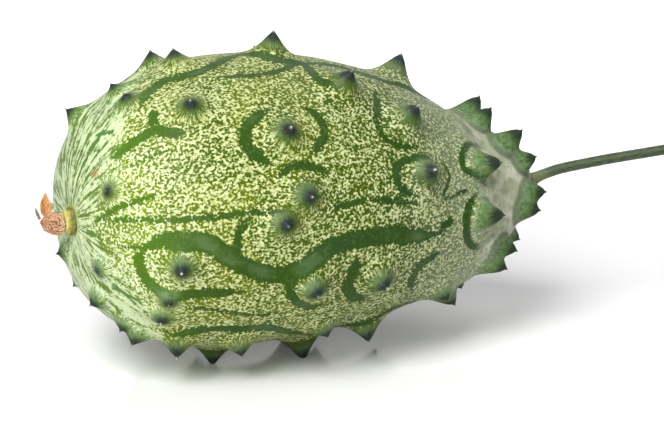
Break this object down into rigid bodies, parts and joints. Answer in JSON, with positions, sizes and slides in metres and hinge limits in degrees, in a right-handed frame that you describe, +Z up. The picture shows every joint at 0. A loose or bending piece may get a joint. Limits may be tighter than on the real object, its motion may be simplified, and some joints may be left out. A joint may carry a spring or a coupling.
{
  "type": "horned melon",
  "caption": "Whole horned melon lying on its horns: pear-shaped speckled green fruit with blunt thorny horns, its ribbed stem and the withered flower at the other end.",
  "frame": {"origin": "on the surface that the fruit rests on, under the middle of its bounding box", "axes": "+X along the fruit towards the stem, +Z up, -Y the side called the front"},
  "size_m": [0.1748, 0.0811, 0.0823],
  "materials": {
    "rind": "waxy green rind, satin, with a cream speckle and dark green bands",
    "stem": "matte olive green, finely ribbed",
    "flower_ring": "matte yellow green",
    "dried_flower": "papery brown, crumpled",
    "dried_petal": "papery orange brown"
  },
  "bodies": {
    "root": {"fruit": "rind", "stem": "stem", "flower_ring": "flower_ring", "withered_corolla": "dried_flower", "petal_upper": "dried_petal", "petal_outer": "dried_petal"}
  },
  "joints": []
}
